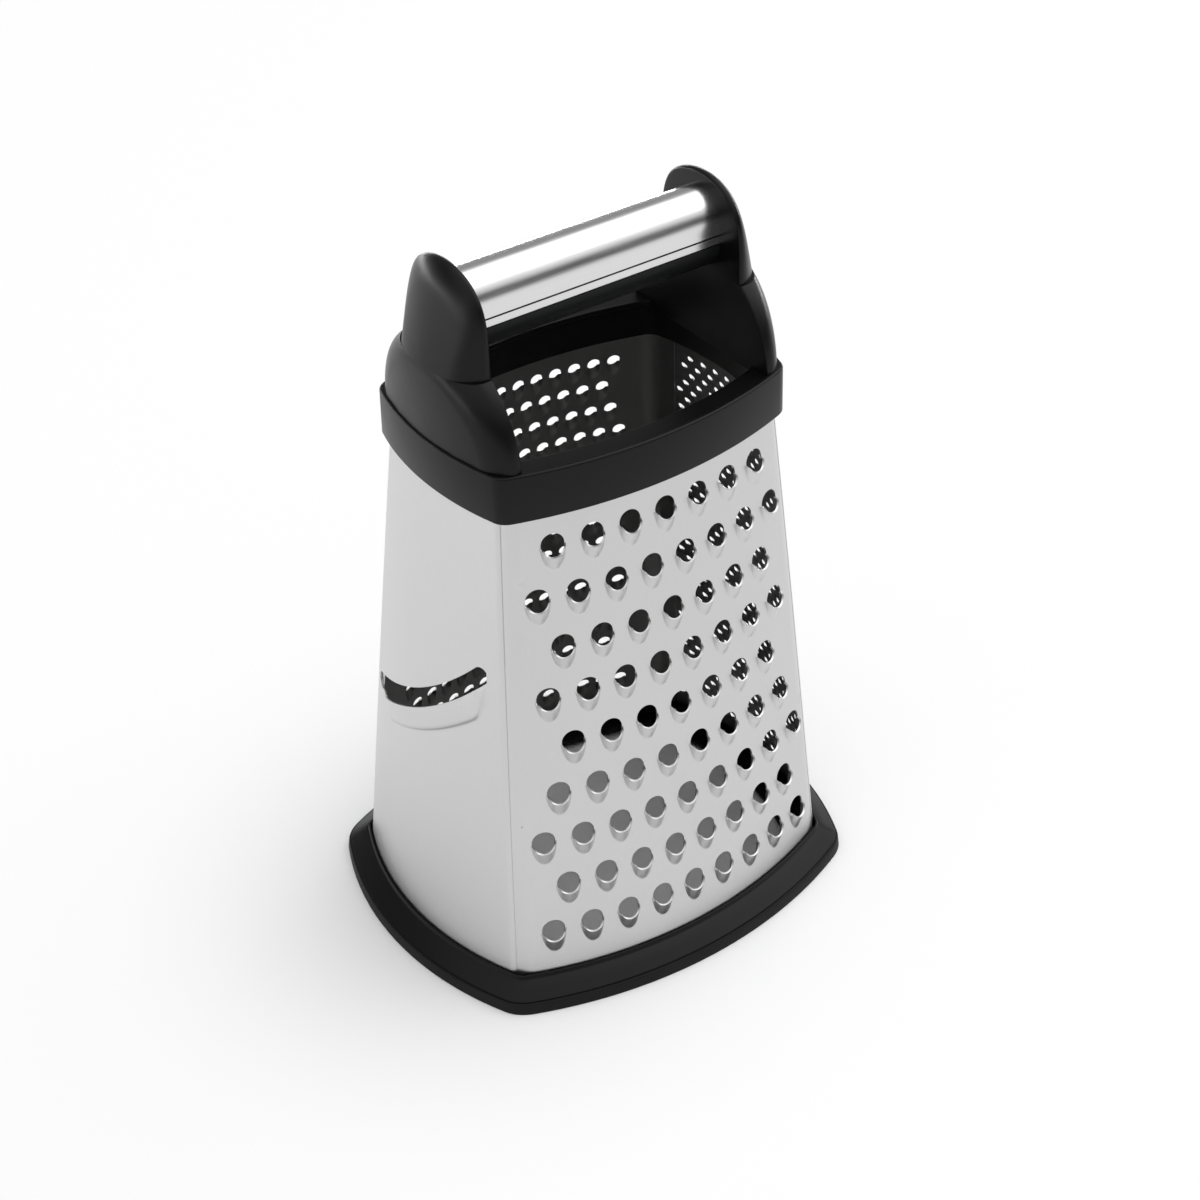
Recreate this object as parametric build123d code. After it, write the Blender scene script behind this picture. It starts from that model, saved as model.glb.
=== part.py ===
from build123d import *
import os
from math import asin, atan, cos, degrees, pi, radians, sin, tan

os.makedirs("parts", exist_ok=True)

# Steel body: four bowed faces that lean inwards, measured on the outer skin.
sheet = 0.6
base_half_width = 76.0  # side face, at its middle, on the table plane
base_half_depth = 62.8  # wide face, at its middle, on the table plane
wide_bow_radius = 157.0
wide_bow_flats = 76  # each bow is made of narrow flats, one to a column of coarse teeth
side_bow_radius = 110.0
side_bow_flats = 56
wide_lean = 6.5
side_lean = 5.7
seam_flange = 6.0
weld_gap = 0.1
bent_gap = 0.3
seat_gap = 0.3

# Coarse teeth, in staggered rows from the bottom up.
coarse_hole = 7.0
coarse_pitch = 13.0
coarse_row_pitch = 17.9
coarse_first_row = 27.5
coarse_margin = 7.5  # from a row's last hole to the edge of the face
coarse_head_margin = 8.0  # from the top row to the rim
coarse_lift = 2.0
coarse_ramp = 6.0
coarse_hole_sides = 8
coarse_scoop_sides = 9
tooth_side_share = 0.15
ridge_share = 0.46

# Medium holes.
medium_hole = 5.2  # across the circle that its punch fills
medium_pitch = 7.15
medium_row_pitch = 10.0
medium_first_row = 21.0
medium_margin = 12.3
medium_head_margin = 8.0
medium_hole_sides = 3

# Slicing blade: a curved diagonal mouth with a raised lip below it.
slice_height = 99.7
slice_slant = 34.0
slice_bow_radius = 250.0
slice_margin = 7.0  # from the mouth's ends to the corners, at the height of its middle
slice_mouth = 6.0
slice_ramp = 8.0
slice_lift = 2.5
slice_reach = 18.0  # how far the punch runs through the bow, each way

# Heights from the top down.
overall_height = 254.0
ear_rise = 31.8
shoulder_rise = 25.2
skirt_height = 16.4
waist_height = overall_height - ear_rise
rim_top = waist_height - shoulder_rise
skirt_foot = rim_top - skirt_height

# Top frame.
rim_foot_reach = 2.0
rim_top_reach = 3.4
rim_corner = 3.5
clearance = 0.4
deck_thickness = 2.0
deck_overhang = 5.9  # from the steel's outer line to the opening's edge
deck_opening_corner = 3.0
bead_width = 1.8
bead_height = 0.7
inner_skirt = 1.6

# Shoulders and ears, the two uprights that carry the handle.
upright_thickness = 12.6
upright_set_in = 0.7  # from the rim's outer edge, at the middle of a side
shoulder_radius = 35.2
shoulder_drop = 3.0  # from the rim's top down to the centre of the shoulder's round
shoulder_edge = 9.0
shoulder_bevels = 3
shoulder_sides = 28
waist_half_depth = 20.6
ear_lean = 13.5
ear_edge = 4.8
ear_bevels = 3
# An ear's outline seen along the handle, as shares of its half depth and rise, and its plan, as shares of its
# thickness and half depth.
ear_outline_shares = [(1, 0), (0.98, 0.24), (0.94, 0.5), (0.87, 0.68), (0.73, 0.83), (0.53, 0.93), (0.27, 0.985), (0, 1)]
ear_plan_shares = [(0, 1), (0.38, 0.92), (0.75, 0.7), (0.95, 0.36), (1, 0)]

# Handle: a steel saddle over a dark moulded core.
handle_radius = 10.2
handle_straight = 6.3  # the oval's flat side, between its two rounds
handle_clear = 0.1  # from the waist up to the handle's underside
saddle_sheet = 1.0
saddle_hem = 3.5
saddle_joggle = 0.5
core_gap = 0.2
tenon_depth = 5.0
tenon_width = 11.0
tenon_height = 19.0

# Screws that pull the ears down on the shoulders.
screw_half_spacing = 13.5
screw_set_in = 4.6  # from the inner wall of an upright
screw_shank = 3.0
screw_head = 6.0
screw_head_height = 2.2
screw_floor = 8.0
screw_bite = 9.0
screw_hole_gap = 0.2
screw_thread_gap = 0.1
screw_sides = 6

# Base frame and foot.
lip_top = 10.0
lip_foot = 8.7
lip_reach = 1.0
lip_foot_reach = 1.3
flare_top_reach = 1.9
flare_reach = 7.4
flare_foot = 4.5
foot_reach = 8.2
foot_top_reach = 8.0
foot_height = 4.2
base_corner = 6.0
lip_corner = 3.0
base_inner_wall = 2.2
base_inner_top = 8.4
channel_floor = 3.0
channel_corner = 0.8
plug_reach = 4.5
plug_foot = 1.4

# Steps of the plan outlines along the wide sides and the narrow ones.
wide_steps = 8
side_steps = 6
corner_rounds = 12
corner_share = 0.8
overrun = 2.0
reach = 2 * overall_height


def slab(low, high):
    return Pos(0, 0, (low + high) / 2) * Box(reach, reach, high - low)


# One face of the body as the side of a large leaning prism whose corners lie on the bow.
def bowed(radius, flats, half, lean, turn, inset):
    tilt = radians(lean)
    foot = Vector(0, -half + radius * cos(tilt), -radius * sin(tilt))
    axis = Plane(origin=foot, x_dir=(1, 0, 0), z_dir=(0, sin(tilt), cos(tilt)))
    section = RegularPolygon(radius - inset, flats, rotation=180 / flats - 90)
    return Rot(0, 0, turn) * (axis.location * extrude(section, 2 * reach, both=True))


def wide_face(turn, inset=0):
    return bowed(wide_bow_radius, wide_bow_flats, base_half_depth, wide_lean, turn, inset)


def side_face(turn, inset=0):
    return bowed(side_bow_radius, side_bow_flats, base_half_width, side_lean, turn, inset)


front, right, back, left = 0, 90, 180, -90


# The whole tapering body, drawn in by an inset or grown by a negative one.
def body(inset, low, high):
    wide = wide_face(front, inset) & wide_face(back, inset)
    side = side_face(left, inset) & side_face(right, inset)
    return wide & side & slab(low, high)


handle_low_centre = waist_height + handle_clear + handle_radius
handle_top_centre = handle_low_centre + handle_straight
shoulder_centre = rim_top - shoulder_drop
rim_half_width = base_half_width - rim_top * tan(radians(side_lean)) + rim_top_reach
upright_reach = rim_half_width - upright_set_in
grip_half_length = upright_reach - upright_thickness
screw_reach = grip_half_length + screw_set_in
panel_foot = channel_floor + seat_gap
deck_top = rim_top - bead_height
deck_under = deck_top - deck_thickness
panel_head = deck_under - seat_gap
lap_inner = sheet + weld_gap
lining = -lap_inner - sheet - clearance


# A wide panel with a flange at each corner that laps behind the side panels.
def wide_panel(turn):
    whole = body(0, panel_foot, panel_head)
    wall = whole - wide_face(turn, sheet)
    lap = whole - wide_face(turn, seam_flange)
    lap = lap & side_face(left, lap_inner) & side_face(right, lap_inner)
    lap = lap - (side_face(left, lap_inner + sheet) & side_face(right, lap_inner + sheet))
    return wall + lap


def side_panel(turn):
    between = wide_face(front, sheet + bent_gap) & wide_face(back, sheet + bent_gap)
    strip = between & (side_face(turn) - side_face(turn, sheet))
    half_space = Rot(0, 0, turn) * Pos(0, -reach / 2, 0) * Box(reach, reach, reach)
    return strip & slab(panel_foot, panel_head) & half_space


# A place on a face: across it, up it, with Z pointing out of the sheet.
def on_face(radius, half, lean, turn, across, height):
    tilt = radians(lean)
    swing = asin(across / radius)
    sag = radius * (1 - cos(swing))
    out = Vector(0, -cos(tilt), sin(tilt))
    up = Vector(0, sin(tilt), cos(tilt))
    place = Vector(across, -half, 0) + up * (height / cos(tilt)) - out * sag
    normal = out * cos(swing) + Vector(1, 0, 0) * sin(swing)
    spot = Plane(origin=place, x_dir=up.cross(normal), z_dir=normal)
    return Location((0, 0, 0), (0, 0, turn)) * spot.location


# The corner of the body's plan at a height, grown outwards: where the bows of two faces meet.
def plan_corner(height, grow=0):
    depth = base_half_depth - height * tan(radians(wide_lean)) + grow
    width = base_half_width - height * tan(radians(side_lean)) + grow
    wide = wide_bow_radius + grow
    side = side_bow_radius + grow
    corner_x, corner_y = width, depth
    for _ in range(corner_rounds):
        corner_x = width - side + (side ** 2 - corner_y ** 2) ** 0.5
        corner_y = depth - wide + (wide ** 2 - corner_x ** 2) ** 0.5
    return corner_x, corner_y


# A scoop below a hole: a ridge that climbs out of the sheet towards the hole.
def scoop(inset):
    half = coarse_hole / 2
    ridge = coarse_hole * ridge_share
    climb = Vector(0, coarse_ramp, coarse_lift).normalized()
    side = Vector(0, -coarse_lift, coarse_ramp).normalized()
    foot = Vector(0, -half - coarse_ramp, 0)
    axis = Plane(origin=foot - side * ridge, x_dir=(1, 0, 0), z_dir=climb)
    flat_up = 180 / coarse_scoop_sides - 90
    section = RegularPolygon(ridge - inset, coarse_scoop_sides, major_radius=False, rotation=flat_up)
    bar = axis.location * extrude(section, coarse_hole + coarse_ramp, both=True)
    keep_top = -coarse_hole * tooth_side_share
    return bar & Pos(0, keep_top - coarse_hole, 0) * Box(2 * coarse_hole, 2 * coarse_hole, 2 * coarse_hole)


# Staggered places on a wide face, as many in each row as its breadth there has room for.
def staggered(turn, first_row, row_pitch, pitch, margin, head_margin):
    places = []
    for row in range(int((skirt_foot - head_margin - first_row) / row_pitch) + 1):
        height = first_row + row * row_pitch
        shift = (row % 2) / 2
        count = int((plan_corner(height)[0] - margin) / pitch - shift)
        for column in range(-count, count + 1 + row % 2):
            across = (column - shift) * pitch
            places.append(on_face(wide_bow_radius, base_half_depth, wide_lean, turn, across, height))
    return places


def coarse_panel():
    outer = scoop(0) & Pos(0, 0, coarse_hole - sheet / 2) * Box(reach, reach, 2 * coarse_hole)
    inner = scoop(sheet)
    hole = extrude(RegularPolygon(coarse_hole / 2, coarse_hole_sides, rotation=180 / coarse_hole_sides),
                   coarse_hole, both=True)
    places = staggered(front, coarse_first_row, coarse_row_pitch, coarse_pitch, coarse_margin, coarse_head_margin)
    panel = wide_panel(front) + [place * outer for place in places]
    return panel - [place * inner for place in places] - [place * hole for place in places]


def medium_panel():
    hole = extrude(RegularPolygon(medium_hole / 2, medium_hole_sides, rotation=90), medium_hole, both=True)
    places = staggered(back, medium_first_row, medium_row_pitch, medium_pitch, medium_margin, medium_head_margin)
    return wide_panel(back) - [place * hole for place in places]


# The slicing side: the sheet below a slanting mouth is pushed out as a hood.
def slicing_panel():
    spot = on_face(side_bow_radius, base_half_width, side_lean, left, 0, slice_height)
    spot = spot * Rot(0, 0, slice_slant)
    length = 2 * (plan_corner(slice_height)[1] - slice_margin) / cos(radians(slice_slant))

    def band(drop, run, width):
        radius = slice_bow_radius + drop
        span = degrees(run / radius)
        arc = Pos(0, slice_bow_radius, 0) * CenterArc((0, 0, 0), radius, -90 - span / 2, span)
        return spot * extrude(SlotArc(arc, width), slice_reach, both=True)

    straight = length - slice_mouth
    mouth = band(0, straight, slice_mouth)
    hood_drop = (slice_mouth + slice_ramp) / 2
    hood_width = slice_ramp + slice_mouth
    hinge = spot * Pos(0, -slice_mouth / 2 - slice_ramp, 0)
    push = hinge * Rot(degrees(atan(slice_lift / slice_ramp)), 0, 0) * hinge.inverse()
    hood = band(hood_drop, straight - slice_ramp, hood_width) & push * side_face(left)
    hood = hood - side_face(left, sheet / 2)
    pocket = band(hood_drop, straight - slice_ramp, hood_width - 2 * sheet) & push * side_face(left, sheet)
    return side_panel(left) + hood - pocket - mouth


# Points along one side of the plan, from corner to corner, on the bow of that side.
def bow_points(radius, middle, half_chord, steps):
    points = []
    for step in range(steps + 1):
        across = half_chord * (2 * step / steps - 1)
        points.append((across, -middle + radius - (radius ** 2 - across ** 2) ** 0.5))
    return points


# The plan of the body at a height, grown outwards, with its four corners cut off.
def outline(height, grow, corner):
    depth = base_half_depth - height * tan(radians(wide_lean)) + grow
    width = base_half_width - height * tan(radians(side_lean)) + grow
    wide = wide_bow_radius + grow
    side = side_bow_radius + grow
    corner_x, corner_y = plan_corner(height, grow)
    points = []
    front_points = bow_points(wide, depth, corner_x - corner, wide_steps)
    side_points = bow_points(side, width, corner_y - corner * corner_share, side_steps)
    points += [(x, y) for x, y in front_points]
    points += [(-y, x) for x, y in side_points]
    points += [(-x, -y) for x, y in front_points]
    points += [(y, -x) for x, y in side_points]
    return Pos(0, 0, height) * make_face(Polyline(points, close=True))


def ring_solid(low, low_grow, low_corner, high, high_grow, high_corner):
    return loft([outline(low, low_grow, low_corner), outline(high, high_grow, high_corner)], ruled=True)


def wall_between(low, high, outer_grow, inner_grow, corner):
    outer = ring_solid(low, outer_grow, corner, high, outer_grow, corner)
    inner = ring_solid(low - overrun, inner_grow, corner, high + overrun, inner_grow, corner)
    return outer - inner


# A shoulder is a many-sided disc with its rim rounded in bevels, cut level at the waist.
def shoulder():
    def section(across, radius):
        place = Plane(origin=(across, 0, shoulder_centre), x_dir=(0, 1, 0), z_dir=(1, 0, 0))
        return place * RegularPolygon(radius, shoulder_sides)

    slices = [section(grip_half_length, shoulder_radius)]
    for step in range(shoulder_bevels, -1, -1):
        angle = pi / 2 * step / shoulder_bevels
        across = upright_reach - shoulder_edge * (1 - cos(angle))
        slices.append(section(across, shoulder_radius - shoulder_edge * (1 - sin(angle))))
    disc = loft(slices, ruled=True)
    bow = RegularPolygon(side_bow_radius, side_bow_flats, rotation=180 / side_bow_flats)
    bow = Pos(upright_reach - side_bow_radius, 0, 0) * extrude(bow, reach)
    return disc & bow & slab(deck_under, waist_height)


def screw_places():
    return [Pos(side * screw_reach, hand * screw_half_spacing, 0) for side in (-1, 1) for hand in (-1, 1)]


def post(radius, low, high):
    return Pos(0, 0, low) * extrude(RegularPolygon(radius, screw_sides), high - low)


screw_seat = waist_height - screw_floor


def top_frame():
    skirt = ring_solid(skirt_foot, rim_foot_reach, rim_corner, rim_top, rim_top_reach, rim_corner)
    bead_inner = rim_top_reach - bead_width
    skirt = skirt - ring_solid(deck_top, bead_inner, rim_corner, rim_top + overrun, bead_inner, rim_corner)
    hollow = ring_solid(skirt_foot - overrun, clearance, channel_corner, deck_under, clearance, channel_corner)
    frame = skirt - hollow + wall_between(skirt_foot, deck_under + overrun / 2, lining, lining - inner_skirt,
                                          deck_opening_corner)
    uprights = shoulder()
    frame = frame + uprights + Rot(0, 0, 180) * uprights
    gap = ring_solid(deck_under - overrun, -deck_overhang, deck_opening_corner,
                     rim_top + overrun, -deck_overhang, deck_opening_corner)
    opening = gap & Box(2 * grip_half_length, reach, 2 * reach)
    frame = frame - opening
    for place in screw_places():
        frame = frame - place * post(screw_head / 2 + screw_hole_gap, skirt_foot - overrun, screw_seat)
        frame = frame - place * post(screw_shank / 2 + screw_hole_gap, screw_seat, waist_height + overrun)
    return frame


# The tall oval that the saddle and the core share.
def oval(inset, low_centre):
    radius = handle_radius - inset
    straight = Pos(0, (handle_top_centre + low_centre) / 2) * Rectangle(2 * radius, handle_top_centre - low_centre)
    return Pos(0, handle_top_centre) * Circle(radius) + straight + Pos(0, low_centre) * Circle(radius)


def bar(section, half_length):
    return extrude(Plane.YZ * section, half_length, both=True)


def handle_shell():
    hem_foot = handle_low_centre
    shell = bar(oval(0, handle_low_centre), grip_half_length)
    hem = bar(Pos(0, hem_foot + saddle_hem / 2) * Rectangle(2 * (handle_radius + saddle_joggle), saddle_hem),
              grip_half_length)
    inner = bar(oval(saddle_sheet, handle_low_centre), reach)
    return (shell + hem - inner) & slab(hem_foot, reach)


def tenon(extra):
    middle = (handle_top_centre + handle_low_centre) / 2
    return Pos(0, middle) * Rectangle(tenon_width + 2 * extra, tenon_height + 2 * extra)


def handle_core():
    inner = bar(oval(saddle_sheet + core_gap, handle_low_centre), grip_half_length)
    under = bar(oval(0, handle_low_centre), grip_half_length) & slab(0, handle_low_centre - core_gap)
    return inner + under + bar(tenon(0), grip_half_length + tenon_depth)


# A closed outline from the points of its one half.
def mirrored(points):
    other = [(-x, y) for x, y in reversed(points) if x > 0]
    return make_face(Polyline(points + other, close=True))


# An ear is what its side, end and plan profiles have in common.
def ear_cap():
    side = mirrored([(waist_half_depth * across, waist_height + ear_rise * up) for across, up in ear_outline_shares])
    top_reach = upright_reach - ear_rise * tan(radians(ear_lean))
    end = [(0, waist_height), (0, overall_height)]
    for step in range(ear_bevels + 1):
        angle = pi / 2 * step / ear_bevels
        across = top_reach - ear_edge + ear_edge * (1 + tan(radians(ear_lean))) * sin(angle)
        end.append((across, overall_height - ear_edge * (1 - cos(angle))))
    end = make_face(Polyline(end + [(upright_reach, waist_height)], close=True))
    thickness = upright_reach - grip_half_length
    plan = mirrored([(waist_half_depth * across, grip_half_length + thickness * out)
                     for out, across in ear_plan_shares])
    ear = extrude(Plane.YZ * side, upright_reach) & extrude(Plane.XZ * end, waist_half_depth, both=True)
    ear = ear & extrude(Rot(0, 0, -90) * plan, reach)
    pocket = bar(tenon(clearance), grip_half_length + tenon_depth + clearance)
    return ear - pocket


def right_ear_cap():
    cap = ear_cap()
    for place in screw_places():
        hole = post(screw_shank / 2 + screw_thread_gap, waist_height - overrun,
                    waist_height + screw_bite + clearance)
        cap = cap - place * hole
    return cap


def ear_screws():
    shank = post(screw_shank / 2, screw_seat - screw_head_height, waist_height + screw_bite)
    head = post(screw_head / 2, screw_seat - screw_head_height, screw_seat)
    return Compound(children=[place * (shank + head) for place in screw_places()])


def base_frame():
    lip = ring_solid(lip_foot, lip_foot_reach, lip_corner, lip_top, lip_reach, lip_corner)
    flare = ring_solid(flare_foot, flare_reach, base_corner, lip_foot, flare_top_reach, lip_corner)
    plug = ring_solid(plug_foot, plug_reach, base_corner, flare_foot, plug_reach, base_corner)
    bore = lining - base_inner_wall
    above = ring_solid(channel_floor, clearance, channel_corner, lip_top + overrun, clearance, channel_corner)
    island = ring_solid(plug_foot, lining, lip_corner, base_inner_top, lining, lip_corner)
    hole = ring_solid(plug_foot - overrun, bore, lip_corner, lip_top + overrun, bore, lip_corner)
    return lip + flare + plug - (above - island) - hole


def foot_ring():
    ring = ring_solid(0, foot_reach, base_corner, foot_height, foot_top_reach, base_corner)
    bore = lining - base_inner_wall
    ring = ring - ring_solid(-overrun, bore, lip_corner, foot_height + overrun, bore, lip_corner)
    seat = plug_reach + clearance
    return ring - ring_solid(plug_foot - clearance, seat, base_corner, foot_height + overrun, seat, base_corner)


cap = right_ear_cap()
pieces = {
    "coarse_panel": coarse_panel(),
    "medium_panel": medium_panel(),
    "slicing_panel": slicing_panel(),
    "fine_panel": side_panel(right),
    "top_frame": top_frame(),
    "right_ear_cap": cap,
    "left_ear_cap": Rot(0, 0, 180) * cap,
    "handle_shell": handle_shell(),
    "handle_core": handle_core(),
    "ear_screws": ear_screws(),
    "base_frame": base_frame(),
    "foot_ring": foot_ring(),
}

for node, shape in pieces.items():
    export_step(shape, f"parts/{node}.step")
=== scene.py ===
from math import cos, pi, radians, sin, tan

import bmesh
import bpy
import numpy as np
from mathutils import Matrix, Vector


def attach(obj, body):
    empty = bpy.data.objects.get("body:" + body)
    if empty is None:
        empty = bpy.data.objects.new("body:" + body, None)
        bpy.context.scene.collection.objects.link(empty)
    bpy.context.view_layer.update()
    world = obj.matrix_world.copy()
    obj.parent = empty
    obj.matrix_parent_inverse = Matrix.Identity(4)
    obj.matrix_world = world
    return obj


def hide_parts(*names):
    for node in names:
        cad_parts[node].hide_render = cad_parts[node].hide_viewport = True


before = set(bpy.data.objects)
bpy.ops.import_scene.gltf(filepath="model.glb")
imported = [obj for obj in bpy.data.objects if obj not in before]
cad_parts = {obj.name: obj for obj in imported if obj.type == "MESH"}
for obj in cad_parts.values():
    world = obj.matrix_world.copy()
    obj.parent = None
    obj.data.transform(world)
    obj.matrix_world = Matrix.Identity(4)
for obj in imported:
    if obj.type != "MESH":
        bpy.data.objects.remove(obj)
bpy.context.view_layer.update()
mm = 0.001  # sizes are written in millimetres, and Blender takes metres
print("frame loaded:", len(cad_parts), "nodes")


def hexColour(text):  # sRGB hex to the linear numbers that a shader socket takes
    parts = [int(text[i:i + 2], 16) / 255 for i in (1, 3, 5)]
    return [c / 12.92 if c <= 0.04045 else ((c + 0.055) / 1.055) ** 2.4 for c in parts] + [1.0]


# An input goes by its name with _ for a space, or by i and its number. It takes a socket or a
# value.
def addNode(tree, kind, settings=None, **inputs):
    node = tree.nodes.new(kind)
    for key, value in (settings or {}).items():
        setattr(node, key, value)
    for key, value in inputs.items():
        numbered = key[0] == "i" and key[1:].isdigit()
        socket = node.inputs[int(key[1:]) if numbered else key.replace("_", " ")]
        if isinstance(value, bpy.types.NodeSocket):
            tree.links.new(value, socket)
        else:
            socket.default_value = value
    return node


def makeObject(name, points, faces):  # a mesh from points in millimetres
    mesh = bpy.data.meshes.new(name)
    mesh.from_pydata((np.asarray(points, float) * mm).tolist(), [], [list(f) for f in faces])
    mesh.update()
    piece = bpy.data.objects.new(name, mesh)
    bpy.context.scene.collection.objects.link(piece)
    return piece


# The faces between rows of points. A closed row joins its own ends, and ringed rows join the last
# row to the first.
def quads(rows, columns, start=0, closed=False, ringed=False, flip=False):
    faces = []
    for k in range(rows if ringed else rows - 1):
        here, there = start + k * columns, start + (k + 1) % rows * columns
        for i in range(columns if closed else columns - 1):
            j = (i + 1) % columns
            if flip:
                faces.append((here + i, there + i, there + j, here + j))
            else:
                faces.append((here + i, here + j, there + j, there + i))
    return faces


weldGap = 0.002  # points nearer than this are one point


def weld(piece, gap=weldGap, turnOutwards=True):  # merge doubles, then turn every face outwards
    bm = bmesh.new()
    bm.from_mesh(piece.data)
    bmesh.ops.remove_doubles(bm, verts=bm.verts, dist=gap * mm)
    if turnOutwards:
        bmesh.ops.recalc_face_normals(bm, faces=bm.faces)
    bm.to_mesh(piece.data)
    bm.free()


def smooth(piece, angle):  # smooth shading, with edges sharper than the angle kept crisp
    piece.data.shade_smooth()
    piece.data.set_sharp_from_angle(angle=radians(angle))
    return piece


def bake(piece):  # the modifiers' result as a plain mesh
    graph = bpy.context.evaluated_depsgraph_get()
    mesh = bpy.data.meshes.new_from_object(piece.evaluated_get(graph),
                                           preserve_all_data_layers=True, depsgraph=graph)
    old = piece.data
    piece.modifiers.clear()
    piece.data = mesh
    bpy.data.meshes.remove(old)
    mesh.name = piece.name


# The piece stands for the CAD node that it hides. The sheets have their materials already.
def finishPiece(piece, hidden, material=None):
    if material:
        piece.data.materials.append(material)
    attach(piece, "root")
    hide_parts(hidden)
    print("piece", piece.name, len(piece.data.polygons), "faces")


def newMaterial(name):
    material = bpy.data.materials.new(name)
    material.use_nodes = True
    tree = material.node_tree
    return material, tree, tree.nodes["Principled BSDF"]


steelFinish = {"cloud": 35.0, "bumpStrength": 0.25, "metallic": 1.0}
plasticFinish = {"cloud": 22.0, "bumpStrength": 0.2, "ior": 1.5, "specular": 0.19}
noiseMiddle = (0.3, 0.7)  # most of a noise's values lie between these


# Ground or rolled steel: a grain drawn out along the grinding, and slow clouds in its gloss. Real
# grinding lines are about 0.05 mm apart. They are drawn at 0.3 to 0.5 mm, so that they show.
def brushedSteel(name, colours, roughness, stretch, grain, bump, clouding):
    material, tree, shader = newMaterial(name)
    shader.inputs["Metallic"].default_value = steelFinish["metallic"]
    place = addNode(tree, "ShaderNodeTexCoord").outputs["Object"]
    along = addNode(tree, "ShaderNodeMapping", Vector=place, Scale=stretch).outputs[0]
    lines = addNode(tree, "ShaderNodeTexNoise", Vector=along, Scale=1 / (grain * mm),
                    Detail=3.0).outputs[0]
    cloud = addNode(tree, "ShaderNodeTexNoise", Vector=place,
                    Scale=1 / (steelFinish["cloud"] * mm), Detail=2.0).outputs[0]
    mixed = addNode(tree, "ShaderNodeMix", {"data_type": "RGBA"}, i0=lines,
                    i6=hexColour(colours[0]), i7=hexColour(colours[1]))
    rough = addNode(tree, "ShaderNodeMapRange", Value=lines, i1=noiseMiddle[0], i2=noiseMiddle[1],
                    i3=roughness[0], i4=roughness[1]).outputs[0]
    clouded = addNode(tree, "ShaderNodeMath", {"operation": "MULTIPLY_ADD"}, i0=cloud, i1=clouding,
                      i2=rough)
    relief = addNode(tree, "ShaderNodeBump", Height=lines, Strength=steelFinish["bumpStrength"],
                     Distance=bump * mm)
    tree.links.new(mixed.outputs[2], shader.inputs["Base Color"])
    tree.links.new(clouded.outputs[0], shader.inputs["Roughness"])
    tree.links.new(relief.outputs[0], shader.inputs["Normal"])
    return material


# Moulded plastic or rubber: the fine grain of its tool, and slow clouds in its colour and gloss.
# The real grain is about 0.1 mm. It is drawn at 0.35 to 0.5 mm, so that it shows.
def mouldedPlastic(name, colours, roughness, grain, bump):
    material, tree, shader = newMaterial(name)
    shader.inputs["IOR"].default_value = plasticFinish["ior"]
    shader.inputs["Specular IOR Level"].default_value = plasticFinish["specular"]
    place = addNode(tree, "ShaderNodeTexCoord").outputs["Object"]
    pits = addNode(tree, "ShaderNodeTexNoise", Vector=place, Scale=1 / (grain * mm),
                   Detail=2.0).outputs[0]
    cloud = addNode(tree, "ShaderNodeTexNoise", Vector=place,
                    Scale=1 / (plasticFinish["cloud"] * mm), Detail=3.0).outputs[0]
    mixed = addNode(tree, "ShaderNodeMix", {"data_type": "RGBA"}, i0=cloud,
                    i6=hexColour(colours[0]), i7=hexColour(colours[1]))
    rough = addNode(tree, "ShaderNodeMapRange", Value=cloud, i1=noiseMiddle[0], i2=noiseMiddle[1],
                    i3=roughness[0], i4=roughness[1])
    relief = addNode(tree, "ShaderNodeBump", Height=pits, Strength=plasticFinish["bumpStrength"],
                     Distance=bump * mm)
    tree.links.new(mixed.outputs[2], shader.inputs["Base Color"])
    tree.links.new(rough.outputs[0], shader.inputs["Roughness"])
    tree.links.new(relief.outputs[0], shader.inputs["Normal"])
    return material


# Stainless sheet, ground up and down to a satin: wide soft reflections with a faint upright grain.
sheetSteel = brushedSteel("Satin stainless sheet", ("#CACACA", "#D2D2D2"), (0.26, 0.34),
                          stretch=(1, 1, 0.04), grain=0.35, bump=0.02, clouding=0.08)
# The sheet's back, left as it was rolled: a little duller. Its dark colour is painted shade, far
# darker than the same steel outside, so the inside reads as a deep shade.
shadedInnerSteel = brushedSteel("Stainless sheet as rolled", ("#7E7E7D", "#8A8A89"), (0.3, 0.38),
                          stretch=(1, 1, 0.2), grain=0.5, bump=0.02, clouding=0.08)
# Stainless sheet, brushed along the handle: long clear bands of light and dark.
tubeSteel = brushedSteel("Brushed stainless saddle", ("#D2D2D2", "#E3E3E3"), (0.16, 0.24),
                         stretch=(0.02, 1, 1), grain=0.3, bump=0.008, clouding=0.04)
# Plated steel, turned: a small bright head with a fine grain.
turnedSteel = brushedSteel("Turned steel screw", ("#A9A9A8", "#BFBFBE"), (0.22, 0.3),
                           stretch=(1, 1, 0.3), grain=0.3, bump=0.01, clouding=0.05)
# ABS moulded in a fine-stoned tool: deep black with a soft, even sheen.
blackAbs = mouldedPlastic("Black moulded ABS", ("#09090A", "#0F0F10"), (0.28, 0.36),
                          grain=0.5, bump=0.012)
# Nylon moulded in a plain tool: a touch greyer and duller than the ABS beside it.
coreNylon = mouldedPlastic("Dark moulded nylon core", ("#131314", "#191A1B"), (0.42, 0.5),
                           grain=0.4, bump=0.02)
# Soft moulded rubber: matt, so it shows as a darker line under the base.
footRubber = mouldedPlastic("Non-slip rubber", ("#0E0E0F", "#141415"), (0.5, 0.62),
                            grain=0.35, bump=0.03)
print("materials made")


# The four sheets. The wide ones lap their flanges behind the side ones, whose edges roll inwards.
body = {
    "sheet": 0.6, "foot": 3.3, "head": 194.0,
    "lapInset": 0.7, "flange": 5.0, "bend": 4.5, "bendSteps": 6, "marginCut": 1.5,
    "sideCut": 1.8, "edgeRoll": 0.7, "rollWidth": 2.0, "rollSteps": 4, "sharpAngle": 38,
}
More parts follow.
